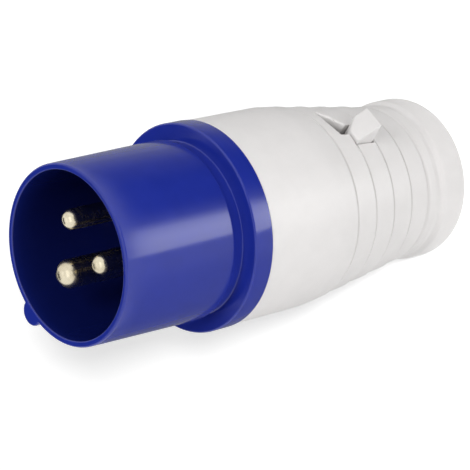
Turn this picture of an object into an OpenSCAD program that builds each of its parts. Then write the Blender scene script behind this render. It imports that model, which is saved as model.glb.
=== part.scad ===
// Industrial pin and sleeve plug: two poles and earth, blue shroud, white body, cable gland.
// Millimetres. The plug stands on its gland nut with the pins upwards. The origin is the
// centre of the nut's rear face, and +Z runs along the axis towards the shroud's rim.

/* [Shroud] */
// Length of the shroud in front of the flange
shroud_length = 36; // [24:0.5:48]
// How much wider the shroud is at its root than at its rim
shroud_draft = 0.25; // [0:0.05:0.5]
// Wall of the shroud
shroud_wall = 1.55; // [1.2:0.05:2.5]
// How much narrower the shroud's cavity is at its floor than at its mouth
cavity_draft = 0.45; // [0:0.05:0.8]
// Radius of the rounding on the shroud's rim
rim_rounding = 0.4; // [0.1:0.05:0.5]
// Width of the groove between shroud and flange
root_groove_width = 3.3; // [1.5:0.1:5]
// Depth of the groove between shroud and flange
root_groove_depth = 0.95; // [0.2:0.05:1]
// Width of the polarising key along the shroud
key_width = 6.6; // [3:0.1:9]
// How far the key's crest stays inside the flange's edge
key_set_in = 0.9; // [0.3:0.05:1.5]

/* [Flange] */
// Outer radius of the flange
flange_radius = 25.5; // [24.8:0.1:29]
// How far the flange stands out past the shroud's rim
flange_step = 3.75; // [2.5:0.05:6]
// Thickness of the flange
flange_thickness = 5.7; // [4:0.1:9]
// Radius of the rounding on the flange's edges
flange_rounding = 0.5; // [0.1:0.05:1]
// Thickness of the wall that the pins pass through
pin_floor_thickness = 5.1; // [3:0.1:8]

/* [Pins] */
// Radius of the circle on which the pins stand
pin_circle_radius = 8; // [7.6:0.1:9]
// Radius of the line and neutral pins
live_pin_radius = 2.5; // [2:0.05:3]
// Radius of the earth pin
earth_pin_radius = 3.5; // [2.5:0.05:3.6]
// Distance of the pin tips below the shroud's rim
pin_tip_depth = 1.8; // [0.5:0.1:8]
// Height of the domed tip as a share of the pin's radius
tip_dome_share = 0.8; // [0.2:0.05:0.9]
// How far a pin's neck in the pin floor stands out of the pin
neck_step = 0.4; // [0.2:0.05:0.8]
// How far a pin's neck stands out of the pin floor
neck_rise = 0.3; // [0.1:0.05:0.6]
// Metal round the wire hole in a pin's terminal barrel
barrel_wall = 1.5; // [1.2:0.05:1.8]
// How far the earth pin's terminal barrel stands out of the pin
earth_barrel_step = 1.3; // [1.1:0.05:1.6]
// Length of a terminal barrel behind the pin's collar
barrel_length = 13; // [11:0.5:18]
// Thickness of the pin's collar
collar_thickness = 1.4; // [1:0.1:2.5]
// How far the collar stands out of the barrel
collar_step = 0.7; // [0.4:0.05:1]
// Depth of the wire hole in a terminal barrel
wire_hole_depth = 9.5; // [8:0.5:12]

/* [Terminal screws] */
// Radius of a terminal screw's thread
terminal_screw_radius = 1.7; // [1.4:0.05:1.9]
// Radius of a terminal screw's head
terminal_head_radius = 2.6; // [2.2:0.05:2.9]
// Height of a terminal screw's head
terminal_head_height = 1.8; // [1.2:0.1:2.4]
// Distance of a terminal screw from the open end of its barrel
terminal_screw_offset = 4.5; // [3.6:0.1:5.5]

/* [Contact carrier] */
// Thickness of the carrier's front disc
carrier_disc_thickness = 4.4; // [3.5:0.1:6]
// Wall of each terminal tower round its barrel
tower_wall = 1.4; // [1:0.05:1.7]
// Radius of a boss that takes a carrier screw
boss_radius = 3; // [2.6:0.1:3.4]
// Distance of the carrier screws from the carrier's edge
boss_set_in = 7.4; // [6.6:0.1:8]
// Thickness of the rib behind each boss
carrier_rib = 1.6; // [1:0.1:2]
// Thickness of the cover plate behind the terminals
cover_thickness = 1.6; // [1.2:0.1:3]
// Radius of a carrier screw's thread
carrier_screw_radius = 1.25; // [1:0.05:1.5]
// Radius of a carrier screw's head
carrier_head_radius = 2.5; // [2:0.05:2.8]
// Height of a carrier screw's head
carrier_head_height = 1.7; // [1.2:0.1:2.5]
// Depth of a carrier screw's hole in the shroud's pin floor
carrier_screw_grip = 3.6; // [2.5:0.1:4]

/* [Body shell] */
// Length of the smooth body between flange and grip
body_length = 29.1; // [27.5:0.1:45]
// How far the flange stands out of the body
flange_overhang = 0.3; // [0:0.05:0.8]
// Radius that the body loses before its taper starts
body_draft = 0.2; // [0:0.05:0.5]
// Length of the tapered stretch at the back of the body
taper_length = 6.5; // [3:0.1:10]
// Radius that the body loses in its taper
taper_step = 1; // [0.5:0.05:2]
// Wall of the body shell round the shroud's spigot
body_wall = 2.5; // [2:0.05:3]
// Length of the shroud's spigot inside the body
front_spigot_length = 6.4; // [5.6:0.1:7.5]
// Wall of the shroud's spigot
front_spigot_wall = 1.9; // [1.6:0.05:2.2]
// How far the snap bead stands out of the shroud's spigot
snap_height = 0.4; // [0.2:0.05:0.6]
// Length of the body's own spigot inside the grip
rear_spigot_length = 16.4; // [16:0.1:17]
// Wall of the body's own spigot
rear_spigot_wall = 2; // [1.6:0.05:2.4]
// Radius of the section of each sealing ring
seal_section_radius = 0.75; // [0.5:0.05:0.85]

/* [Grip housing] */
// Number of stepped rings on the grip
grip_ring_count = 4; // [3:1:6]
// Length of each ring of the grip
grip_ring_pitch = 7.15; // [6.5:0.05:8.5]
// Mean outer radius of the grip at its back
grip_back_radius = 19.7; // [19.2:0.05:21]
// Height of the step between two rings
grip_step = 0.45; // [0.1:0.05:0.8]
// Wall of the grip behind the socket
grip_wall = 2.4; // [2:0.05:3]
// Wall of the grip at the back of the socket that takes the body's spigot
socket_wall = 2.6; // [2.3:0.05:3]
// Number of bayonet lugs on the body's spigot
bayonet_count = 3; // [2:1:4]
// How far a bayonet lug stands out of the spigot
bayonet_height = 0.9; // [0.5:0.05:1.2]
// Length of a bayonet lug along the axis
bayonet_length = 2.2; // [1.5:0.1:3]
// Angle that a bayonet lug covers
bayonet_angle = 16; // [10:1:24]
// Angle that the grip is turned by to take it off
bayonet_turn = 19; // [15:1:22]
// Distance of the bayonet lugs from the grip's front
bayonet_set_back = 3.2; // [2.8:0.1:4]

/* [Lock tab] */
// Azimuth of the lock tab, measured from +X
tab_azimuth = 93.5; // [80:0.5:105]
// Width of the lock tab
tab_width = 6.1; // [4:0.1:7]
// Length of the lock tab along the axis
tab_length = 5.55; // [5.2:0.05:5.8]
// Distance of the tab's back from the ring line behind it
tab_set_back = 0.95; // [0.7:0.05:1.2]
// Height of the tab's crest over the grip
tab_height = 5.7; // [3:0.1:6.5]
// Length of the flat on the tab's crest
tab_crest_flat = 0.35; // [0.2:0.05:0.8]
// Thickness of the tab at the foot of its ramp
tab_foot = 0.45; // [0.35:0.05:0.9]
// Angle that the tab lifts by
tab_lift = 18; // [14:1:20]
// Radius of the tab's pivot trunnions
trunnion_radius = 0.9; // [0.7:0.05:0.95]
// How far a trunnion stands out of the tab
trunnion_length = 1.2; // [0.8:0.1:1.6]
// Distance of the pivot from the tab's back
pivot_set_back = 1.6; // [1.4:0.1:1.8]
// How far the tab's hook reaches into the body's spigot
hook_reach = 0.8; // [0.5:0.05:0.9]
// Length of the hook along the axis
hook_length = 1.1; // [0.8:0.05:1.3]
// Distance of the hook from the tab's front
hook_set_back = 0.6; // [0.5:0.05:0.9]
// How much narrower the hook is than the tab on each side
hook_shoulder = 1.2; // [0.9:0.05:1.4]
// Depth of the twist recess in front of the tab and beside it
recess_depth = 3; // [1:0.1:3.2]
// Length of the twist recess in front of the ring line
recess_length = 2.65; // [1.5:0.05:4]
// Width of the twist recess beside the tab
recess_reach = 6.6; // [4:0.1:9]
// Length of the slit that leads off the recess along the ring line
slit_reach = 1.6; // [0.8:0.1:3]
// Width of that slit
slit_width = 0.5; // [0.3:0.05:0.8]

/* [Gland nut] */
// Length of the gland nut
nut_length = 15.2; // [13:0.1:20]
// Largest radius of the gland nut
nut_radius = 20.3; // [19.9:0.05:21.5]
// Radius of the nut's front edge
nut_lip_radius = 19.6; // [19.2:0.05:19.8]
// Radius of the nut's rounded shoulder
nut_shoulder_radius = 6.6; // [4.5:0.1:7]
// Depth of the soft waist behind the nut's lip
nut_waist_depth = 0.75; // [0.2:0.05:1]
// Radius of the curve of the soft waist
nut_waist_curve = 2.6; // [2:0.1:8]
// Thickness of the nut's rear wall
nut_wall = 2.6; // [2:0.1:3.4]
// Radius of the cable hole in the nut
cable_hole_radius = 7.6; // [7:0.1:8.5]
// Radius of the thread on the housing's neck
thread_radius = 16.2; // [15.6:0.05:16.6]
// Distance that the nut moves in one turn
thread_pitch = 2; // [1:0.25:3]

/* [Cable clamp] */
// Inner radius of the housing's neck
neck_bore_radius = 13; // [12.6:0.05:13.4]
// Wall of the clamp cage
cage_wall = 2.2; // [1.6:0.05:2.4]
// Number of fingers on the clamp cage
cage_finger_count = 8; // [6:1:12]
// Width of the slots between the fingers
cage_slot_width = 1.4; // [0.8:0.1:2]
// Length of the slots between the fingers
cage_slot_length = 8.5; // [6:0.1:9.5]
// Radius of the bore in the sealing grommet
grommet_bore_radius = 6.5; // [5.5:0.05:6.9]
// Length of the sealing grommet
grommet_length = 11.5; // [8:0.1:12.5]
// Thickness of the slip ring
slip_ring_thickness = 1.3; // [1:0.05:2]
// How much wider the slip ring's hole is than the cable hole
slip_ring_lead = 0.6; // [0.4:0.05:1.5]

/* [Fits] */
// Radial clearance between fixed pieces that plug together
plug_fit = 0.1; // [0.05:0.01:0.2]
// Radial clearance between a thread and its nut
thread_clearance = 0.3; // [0.25:0.05:0.5]
// Running clearance of the tab's trunnions
trunnion_fit = 0.05; // [0.03:0.01:0.08]
// Gap between pieces that move past each other
moving_gap = 0.35; // [0.3:0.01:0.5]
// Gap between faces that lie against each other
face_gap = 0.05; // [0.02:0.01:0.1]

/* [Hidden] */

shell_blue = [0.13, 0.18, 0.62];
shell_white = [0.93, 0.92, 0.91];
carrier_grey = [0.2, 0.21, 0.24];
rubber_black = [0.08, 0.08, 0.09];
pin_metal = [0.82, 0.78, 0.66];
screw_metal = [0.72, 0.73, 0.75];
clamp_grey = [0.62, 0.64, 0.66];

overlap = 0.01;
margin = 1;
round_fn = 96;
pin_fn = 64;
small_fn = 48;

// Heights along the axis, from the nut's rear face upwards.
grip_back = nut_length;
grip_front = grip_back + grip_ring_count * grip_ring_pitch;
body_front = grip_front + body_length;
flange_front = body_front + flange_thickness;
rim = flange_front + shroud_length;
pin_floor_back = flange_front - pin_floor_thickness;
pin_tip = rim - pin_tip_depth;
front_spigot_back = body_front - front_spigot_length;
rear_spigot_back = grip_front - rear_spigot_length;
socket_back = rear_spigot_back - moving_gap;
collar_back = pin_floor_back - collar_thickness;
barrel_back = collar_back - barrel_length;
tower_back = barrel_back - face_gap;
carrier_front = pin_floor_back - face_gap;
cover_front = tower_back - face_gap;
cover_back = cover_front - cover_thickness;
nut_floor = nut_wall;
slip_ring_back = nut_floor + face_gap;
clamp_back = slip_ring_back + slip_ring_thickness + face_gap;
neck_back = clamp_back + moving_gap;
grip_floor = grip_back + grip_wall;

// Radii.
shroud_radius = flange_radius - flange_step;
key_height = flange_step - key_set_in;
shroud_root_radius = shroud_radius + shroud_draft;
cavity_radius = shroud_radius - shroud_wall;
body_radius = flange_radius - flange_overhang;
body_taper_radius = body_radius - body_draft;
grip_front_radius = body_taper_radius - taper_step;
socket_radius = grip_radius(socket_back) - socket_wall;
body_bore_radius = body_taper_radius - body_wall;
front_spigot_radius = body_bore_radius - plug_fit;
front_spigot_bore = front_spigot_radius - front_spigot_wall;
carrier_radius = front_spigot_bore - plug_fit;
boss_circle_radius = carrier_radius - boss_set_in;
rear_spigot_radius = socket_radius - plug_fit;
rear_spigot_bore = rear_spigot_radius - rear_spigot_wall;
nut_bore_radius = thread_radius + thread_clearance;
cage_radius = neck_bore_radius - plug_fit;
cage_bore = cage_radius - cage_wall;
grommet_radius = cage_bore - plug_fit;
slip_ring_bore = cable_hole_radius + slip_ring_lead;
live_barrel_radius = live_pin_radius + barrel_wall;
earth_barrel_radius = earth_pin_radius + earth_barrel_step;

// Azimuths of the pins: the key and the earth pin are in line, and the pins are evenly spread.
key_azimuth = 270;
earth_azimuth = key_azimuth;
line_azimuth = key_azimuth + 120;
neutral_azimuth = key_azimuth - 120;
boss_azimuths = [key_azimuth + 60, key_azimuth + 180, key_azimuth - 60];

// The lock tab, in the plane of its own azimuth: first radius, then height.
tab_ring_back = grip_back + (grip_ring_count - 2) * grip_ring_pitch;
tab_ring_front = tab_ring_back + grip_ring_pitch;
tab_back = tab_ring_back + tab_set_back;
tab_front = tab_back + tab_length;
tab_skin = 0.2;
tab_under = socket_radius + moving_gap + tab_skin;
tab_foot_radius = tab_under + tab_foot;
tab_crest_radius = grip_radius(tab_back) + tab_height;
tab_cheek = tab_width / 2;
tab_side_gap = 0.3;
pivot_height = tab_back + pivot_set_back;
pivot_radius = grip_radius(pivot_height) - trunnion_radius - moving_gap;
trunnion_span = tab_width + 2 * trunnion_length;
trunnion_end_gap = 0.2;
tab_swing = (grip_radius(tab_back) + grip_step / 2 - pivot_radius) * sin(tab_lift);
hook_front = tab_front - hook_set_back;
hook_back = hook_front - hook_length;
hook_tip_radius = rear_spigot_radius - hook_reach;
hook_width = tab_width - 2 * hook_shoulder;
recess_front = tab_ring_front + recess_length;
recess_floor = grip_radius(recess_front) - recess_depth - moving_gap;

// Sealing rings and the snap bead.
seal_gap = 0.02;
flange_seal_set_back = 2.6;
grip_seal_set_in = 1.5;
flange_seal_height = body_front - flange_seal_set_back;
flange_seal_radius = body_bore_radius - seal_section_radius - seal_gap;
grip_seal_height = rear_spigot_back + grip_seal_set_in;
grip_seal_radius = socket_radius - seal_section_radius - seal_gap;
snap_half_length = 0.4;
snap_middle = front_spigot_back + margin;

// Bayonet lugs, and the free space round them in their tracks.
bayonet_middle = grip_front - bayonet_set_back;
bayonet_root = 0.5;
track_side_gap = 0.2;
track_roof_gap = 0.25;
track_end_angle = 1.5;

function grip_radius(height) =
    grip_back_radius
    + (grip_front_radius - grip_back_radius) * (height - grip_back) / (grip_front - grip_back);

// ---------------------------------------------------------------- shared forms

// A full revolve of the profile drawn in its children, X as radius and Y as height.
module turned(segments = round_fn) {
    rotate_extrude($fn = segments) children();
}

// A rectangle in a profile, from an inner to an outer radius and between two heights.
module band(inner, outer, low, high) {
    translate([inner, low]) square([outer - inner, high - low]);
}

// A rectangle in a profile whose outer upper corner is rounded.
module band_rounded_top(inner, outer, low, high, rounding) {
    band(inner, outer - rounding, low, high);
    band(inner, outer, low, high - rounding);
    translate([outer - rounding, high - rounding]) circle(r = rounding, $fn = small_fn);
}

// A rectangle in a profile with both outer corners rounded.
module band_rounded(inner, outer, low, high, rounding) {
    band(inner, outer - rounding, low, high);
    band(inner, outer, low + rounding, high - rounding);
    for (height = [low + rounding, high - rounding])
        translate([outer - rounding, height]) circle(r = rounding, $fn = small_fn);
}

// A slice of space between two azimuths, for cutting rings into sectors.
module sector(from, to, radius, low, high) {
    translate([0, 0, low])
        linear_extrude(height = high - low)
            polygon([[0, 0], radius * [cos(from), sin(from)],
                     radius / cos((to - from) / 2) * [cos((from + to) / 2), sin((from + to) / 2)],
                     radius * [cos(to), sin(to)]]);
}

// A rubber ring of round section.
module seal_ring(ring_radius, height) {
    turned() translate([ring_radius, height]) circle(r = seal_section_radius, $fn = small_fn);
}

// The groove for such a ring, cut into a spigot.
module seal_groove(spigot_radius, height) {
    half = seal_section_radius + plug_fit;
    floor_radius = spigot_radius - 2 * seal_section_radius;
    turned() band(floor_radius, spigot_radius + margin, height - half, height + half);
}

// Anything on the axis of a boss.
module at_boss(azimuth) {
    rotate([0, 0, azimuth]) translate([boss_circle_radius, 0, 0]) children();
}

// Hole for a carrier screw's shank between two heights.
module screw_hole(low, high) {
    translate([0, 0, low]) cylinder(r = carrier_screw_radius + face_gap, h = high - low, $fn = small_fn);
}

// Anything on the axis of a pin.
module at_pin(azimuth) {
    rotate([0, 0, azimuth]) translate([pin_circle_radius, 0, 0]) children();
}

// ---------------------------------------------------------------- front shroud

module shroud_profile() {
    groove_front = flange_front + root_groove_width;
    groove_radius = shroud_root_radius - root_groove_depth;
    floor_radius = cavity_radius - cavity_draft;
    // Tapered wall with a rounded rim and a rounded edge at the groove.
    polygon([[floor_radius, flange_front - overlap], [groove_radius, flange_front - overlap],
             [groove_radius, groove_front], [shroud_root_radius - rim_rounding, groove_front],
             [shroud_root_radius, groove_front + rim_rounding], [shroud_radius, rim - rim_rounding],
             [shroud_radius - rim_rounding, rim], [cavity_radius, rim]]);
    translate([shroud_radius - rim_rounding, rim - rim_rounding]) circle(r = rim_rounding, $fn = small_fn);
    translate([shroud_root_radius - rim_rounding, groove_front + rim_rounding])
        circle(r = rim_rounding, $fn = small_fn);
    // Flange, pin floor and the spigot that plugs into the body.
    band_rounded(0, flange_radius, body_front, flange_front, flange_rounding);
    band(front_spigot_bore, front_spigot_radius, front_spigot_back, body_front + overlap);
    // Snap bead that holds the body shell.
    band(front_spigot_radius - overlap, front_spigot_radius + snap_height,
         snap_middle - snap_half_length, snap_middle + snap_half_length);
}

module key_rib() {
    rib_radius = key_width / 2;
    rib_centre = shroud_radius + key_height - rib_radius;
    rotate([0, 0, key_azimuth])
        translate([0, 0, flange_front - overlap])
            intersection() {
                translate([rib_centre, 0, 0])
                    cylinder(r = rib_radius, h = shroud_length + overlap, $fn = small_fn);
                translate([cavity_radius + shroud_wall / 2, -rib_radius, 0])
                    cube([key_width, key_width, shroud_length + overlap]);
            }
}

// Hole in the pin floor for the neck of a pin.
module neck_hole(azimuth, pin_radius) {
    at_pin(azimuth) translate([0, 0, pin_floor_back - margin])
        cylinder(r = pin_radius + neck_step + face_gap, h = pin_floor_thickness + 2 * margin, $fn = pin_fn);
}

module front_shroud() {
    color(shell_blue)
        difference() {
            union() {
                turned() shroud_profile();
                key_rib();
            }
            // Space behind the pin floor for the contact carrier.
            turned() band(0, front_spigot_bore, front_spigot_back - margin, pin_floor_back);
            neck_hole(line_azimuth, live_pin_radius);
            neck_hole(neutral_azimuth, live_pin_radius);
            neck_hole(earth_azimuth, earth_pin_radius);
            for (azimuth = boss_azimuths)
                at_boss(azimuth) screw_hole(pin_floor_back - margin, pin_floor_back + carrier_screw_grip);
            seal_groove(front_spigot_radius, flange_seal_height);
        }
}

// ---------------------------------------------------------------- pins and terminals

// Turned contact: domed pin, neck, collar and drilled terminal barrel with a cross hole.
module contact_pin(pin_radius, barrel_radius) {
    dome_height = tip_dome_share * pin_radius;
    dome_radius = (pin_radius * pin_radius + dome_height * dome_height) / (2 * dome_height);
    wire_hole_radius = barrel_radius - barrel_wall;
    screw_height = barrel_back + terminal_screw_offset;
    difference() {
        turned(pin_fn) {
            band(0, pin_radius, collar_back, pin_tip - dome_height);
            band(0, pin_radius + neck_step, collar_back, flange_front + neck_rise);
            intersection() {
                translate([0, pin_tip - dome_radius]) circle(r = dome_radius, $fn = pin_fn);
                band(0, pin_radius, pin_tip - dome_height - overlap, pin_tip + margin);
            }
            band(0, barrel_radius + collar_step, collar_back, pin_floor_back - face_gap);
            band(0, barrel_radius, barrel_back, collar_back + overlap);
        }
        translate([0, 0, barrel_back - margin])
            cylinder(r = wire_hole_radius, h = wire_hole_depth + margin, $fn = pin_fn);
        translate([0, 0, screw_height])
            rotate([0, 90, 0])
                cylinder(r = terminal_screw_radius + face_gap, h = barrel_radius + margin, $fn = small_fn);
    }
}

module line_pin() {
    color(pin_metal) at_pin(line_azimuth) contact_pin(live_pin_radius, live_barrel_radius);
}

module neutral_pin() {
    color(pin_metal) at_pin(neutral_azimuth) contact_pin(live_pin_radius, live_barrel_radius);
}

module earth_pin() {
    color(pin_metal) at_pin(earth_azimuth) contact_pin(earth_pin_radius, earth_barrel_radius);
}

// Slotted screw along +X: its tip is at the origin side and its head is outside the barrel.
module terminal_screw(barrel_radius) {
    tip = 0.8;
    head_clear = 0.5;
    head_low = barrel_radius + head_clear;
    head_high = head_low + terminal_head_height;
    slot_width = 0.8;
    slot_depth = 0.9;
    difference() {
        rotate([0, 90, 0]) {
            translate([0, 0, tip])
                cylinder(r = terminal_screw_radius, h = head_low - tip + overlap, $fn = small_fn);
            translate([0, 0, head_low])
                cylinder(r = terminal_head_radius, h = terminal_head_height, $fn = small_fn);
        }
        translate([head_high - slot_depth, -slot_width / 2, -terminal_head_radius - margin])
            cube([slot_depth + margin, slot_width, 2 * (terminal_head_radius + margin)]);
    }
}

module placed_terminal_screw(azimuth, barrel_radius) {
    color(screw_metal)
        at_pin(azimuth)
            translate([0, 0, barrel_back + terminal_screw_offset]) terminal_screw(barrel_radius);
}

module line_terminal_screw() {
    placed_terminal_screw(line_azimuth, live_barrel_radius);
}

module neutral_terminal_screw() {
    placed_terminal_screw(neutral_azimuth, live_barrel_radius);
}

module earth_terminal_screw() {
    placed_terminal_screw(earth_azimuth, earth_barrel_radius);
}

// ---------------------------------------------------------------- contact carrier

carrier_length = carrier_front - tower_back;

module tower(azimuth, barrel_radius) {
    at_pin(azimuth) translate([0, 0, tower_back])
        cylinder(r = barrel_radius + tower_wall, h = carrier_length - margin, $fn = pin_fn);
}

// Well for the barrel and collar, and the channel that leads the screw outwards.
module tower_space(azimuth, barrel_radius) {
    driver_gap = 0.3;
    at_pin(azimuth) {
        translate([0, 0, tower_back - margin])
            cylinder(r = barrel_radius + plug_fit, h = carrier_length + 2 * margin, $fn = pin_fn);
        translate([0, 0, collar_back - face_gap])
            cylinder(r = barrel_radius + collar_step + plug_fit, h = collar_thickness + margin, $fn = pin_fn);
        translate([0, 0, barrel_back + terminal_screw_offset])
            rotate([0, 90, 0])
                cylinder(r = terminal_head_radius + driver_gap, h = carrier_radius, $fn = small_fn);
    }
}

// Boss for a carrier screw, with the rib that ties it to the middle.
module boss(azimuth) {
    at_boss(azimuth) translate([0, 0, tower_back])
        cylinder(r = boss_radius, h = carrier_length - margin, $fn = small_fn);
    rotate([0, 0, azimuth])
        translate([0, -carrier_rib / 2, tower_back])
            cube([boss_circle_radius, carrier_rib, carrier_length - margin]);
}

module contact_carrier() {
    color(carrier_grey)
        difference() {
            union() {
                translate([0, 0, carrier_front - carrier_disc_thickness])
                    cylinder(r = carrier_radius, h = carrier_disc_thickness, $fn = round_fn);
                tower(line_azimuth, live_barrel_radius);
                tower(neutral_azimuth, live_barrel_radius);
                tower(earth_azimuth, earth_barrel_radius);
                for (azimuth = boss_azimuths)
                    boss(azimuth);
            }
            tower_space(line_azimuth, live_barrel_radius);
            tower_space(neutral_azimuth, live_barrel_radius);
            tower_space(earth_azimuth, earth_barrel_radius);
            for (azimuth = boss_azimuths)
                at_boss(azimuth) screw_hole(tower_back - margin, carrier_front + margin);
        }
}

module terminal_cover() {
    wire_lead = 0.6;
    wire_way = live_barrel_radius - barrel_wall + wire_lead;
    cover_radius = boss_circle_radius + boss_radius + 1;
    color(carrier_grey)
        difference() {
            translate([0, 0, cover_back]) cylinder(r = cover_radius, h = cover_thickness, $fn = round_fn);
            for (azimuth = [line_azimuth, neutral_azimuth, earth_azimuth])
                at_pin(azimuth) translate([0, 0, cover_back - margin])
                    cylinder(r = wire_way, h = cover_thickness + 2 * margin, $fn = small_fn);
            for (azimuth = boss_azimuths)
                at_boss(azimuth) screw_hole(cover_back - margin, cover_front + margin);
        }
}

module carrier_screw(azimuth) {
    slot_width = 0.7;
    slot_depth = 0.8;
    tip_gap = 0.4;
    head_front = cover_back - face_gap;
    screw_length = pin_floor_back + carrier_screw_grip - tip_gap - head_front;
    color(screw_metal)
        at_boss(azimuth) translate([0, 0, head_front])
            difference() {
                union() {
                    translate([0, 0, -overlap])
                        cylinder(r = carrier_screw_radius, h = screw_length + overlap, $fn = small_fn);
                    translate([0, 0, -carrier_head_height])
                        cylinder(r = carrier_head_radius, h = carrier_head_height, $fn = small_fn);
                }
                translate([-carrier_head_radius - margin, -slot_width / 2, -carrier_head_height - margin])
                    cube([2 * (carrier_head_radius + margin), slot_width, slot_depth + margin]);
            }
}

module carrier_screw_1() {
    carrier_screw(boss_azimuths[0]);
}

module carrier_screw_2() {
    carrier_screw(boss_azimuths[1]);
}

module carrier_screw_3() {
    carrier_screw(boss_azimuths[2]);
}

module flange_seal() {
    color(rubber_black) seal_ring(flange_seal_radius, flange_seal_height);
}

module grip_seal() {
    color(rubber_black) seal_ring(grip_seal_radius, grip_seal_height);
}

// ---------------------------------------------------------------- body shell

function bayonet_azimuth(index) = key_azimuth + index * 360 / bayonet_count;

// The part of a ring that lies between two azimuths.
module ring_stretch(from, to, inner, outer, low, high) {
    intersection() {
        turned() band(inner, outer, low, high);
        sector(from, to, 2 * body_radius, low - margin, high + margin);
    }
}

// Lug on the body's spigot that runs in a bayonet track.
module bayonet_lug(index) {
    azimuth = bayonet_azimuth(index);
    ring_stretch(azimuth - bayonet_angle / 2, azimuth + bayonet_angle / 2,
                 rear_spigot_radius - bayonet_root, rear_spigot_radius + bayonet_height,
                 bayonet_middle - bayonet_length / 2, bayonet_middle + bayonet_length / 2);
}

module body_shell() {
    taper_front = grip_front + taper_length;
    seam_radius = grip_front_radius + grip_step / 2;
    step_height = front_spigot_back - moving_gap;
    rear_wall = 2.2;
    rear_wall_front = grip_front + rear_wall;
    chamber_radius = seam_radius - body_wall;
    root_radius = rear_spigot_radius - margin;
    snap_half_groove = snap_half_length + face_gap;
    color(shell_white)
        difference() {
            union() {
                turned()
                    difference() {
                        polygon([[root_radius, grip_front + face_gap], [seam_radius, grip_front + face_gap],
                                 [body_taper_radius, taper_front], [body_radius, body_front - face_gap],
                                 [root_radius, body_front - face_gap]]);
                        band(0, body_bore_radius, step_height, body_front + margin);
                        band(0, chamber_radius, rear_wall_front, body_front);
                        band(0, body_bore_radius + snap_height,
                             snap_middle - snap_half_groove, snap_middle + snap_half_groove);
                    }
                turned() band(rear_spigot_bore, rear_spigot_radius, rear_spigot_back, rear_wall_front);
                for (index = [0:bayonet_count - 1])
                    bayonet_lug(index);
            }
            seal_groove(rear_spigot_radius, grip_seal_height);
            hook_notch();
        }
}

// Pocket in the rear spigot that the lock tab's hook drops into.
module hook_notch() {
    floor_gap = 0.1;
    back_gap = 0.5;
    front_gap = 0.9;
    rotate([0, 0, tab_azimuth])
        translate([hook_tip_radius - floor_gap, -hook_width / 2 - moving_gap, hook_back - back_gap])
            cube([hook_reach + 2 * margin, hook_width + 2 * moving_gap, hook_length + back_gap + front_gap]);
}

// ---------------------------------------------------------------- grip housing

module grip_profile() {
    slope = (grip_front_radius - grip_back_radius) / grip_ring_count;
    // Stepped rings, each a little narrower than the one in front of it.
    for (index = [0:grip_ring_count - 1]) {
        low = grip_back + index * grip_ring_pitch;
        high = low + grip_ring_pitch;
        low_radius = grip_back_radius + index * slope + grip_step / 2;
        high_radius = low_radius + slope - grip_step;
        polygon([[thread_radius, low], [low_radius, low],
                 [high_radius, high + overlap], [thread_radius, high + overlap]]);
    }
    band(neck_bore_radius, thread_radius + overlap, neck_back, grip_front);
}

// Everything inside the wall: cone behind the socket, the socket and its mouth.
module grip_space() {
    cone_back_radius = grip_radius(grip_floor) - grip_wall;
    cone_front_radius = min(grip_radius(socket_back) - grip_wall, socket_radius);
    polygon([[0, grip_floor], [cone_back_radius, grip_floor], [cone_front_radius, socket_back],
             [socket_radius, socket_back], [socket_radius, grip_front + margin], [0, grip_front + margin]]);
}

// Bayonet track: an entry slot for each lug and the turn that locks it.
module bayonet_track(index) {
    inner = socket_radius - margin;
    outer = rear_spigot_radius + bayonet_height + track_roof_gap;
    half_angle = bayonet_angle / 2 + track_end_angle;
    start = bayonet_azimuth(index) - half_angle;
    end = bayonet_azimuth(index) + half_angle + bayonet_turn;
    low = bayonet_middle - bayonet_length / 2 - track_side_gap;
    high = bayonet_middle + bayonet_length / 2 + track_side_gap;
    ring_stretch(start, end, inner, outer, low, high);
    ring_stretch(start + bayonet_turn, end, inner, outer, low, grip_front + margin);
}

// Opening in the grip's wall for the lock tab, with the holes for its trunnions.
module tab_window() {
    inner = socket_radius - margin;
    back_gap = tab_side_gap + tab_swing;
    front_gap = moving_gap + plug_fit;
    rotate([0, 0, tab_azimuth]) {
        translate([inner, -tab_cheek - tab_side_gap, tab_back - back_gap])
            cube([tab_crest_radius - inner, tab_width + 2 * tab_side_gap, tab_length + back_gap + front_gap]);
        translate([pivot_radius, 0, pivot_height])
            rotate([90, 0, 0])
                cylinder(r = trunnion_radius + trunnion_fit, h = trunnion_span + 2 * trunnion_end_gap,
                         center = true, $fn = small_fn);
    }
}

// Recess round the tab's foot, open towards the side that the housing is twisted to.
// Its back edge slants from the tab's side to its far end, and a slit leads off the other way.
module twist_recess() {
    side = tab_cheek + tab_side_gap;
    heel = tab_front - 1.4;
    far = side + recess_reach;
    bend = side + 0.77 * recess_reach;
    bend_width = 0.8;
    end_width = 0.35;
    rotate([0, 0, tab_azimuth])
        intersection() {
            turned() band(recess_floor, 2 * body_radius, heel - margin, recess_front + margin);
            rotate([90, 0, 90])
                linear_extrude(height = 2 * body_radius)
                    union() {
                        polygon([[-side, heel], [side, heel], [bend, recess_front - bend_width],
                                 [far, recess_front - end_width], [far, recess_front],
                                 [-side, recess_front]]);
                        translate([-side - slit_reach, tab_ring_front - slit_width / 2])
                            square([slit_reach + margin, slit_width]);
                    }
        }
}

module grip_housing() {
    color(shell_white)
        difference() {
            turned() difference() {
                grip_profile();
                grip_space();
            }
            twist_recess();
            tab_window();
            for (index = [0:bayonet_count - 1])
                bayonet_track(index);
        }
}

// ---------------------------------------------------------------- lock tab

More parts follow.
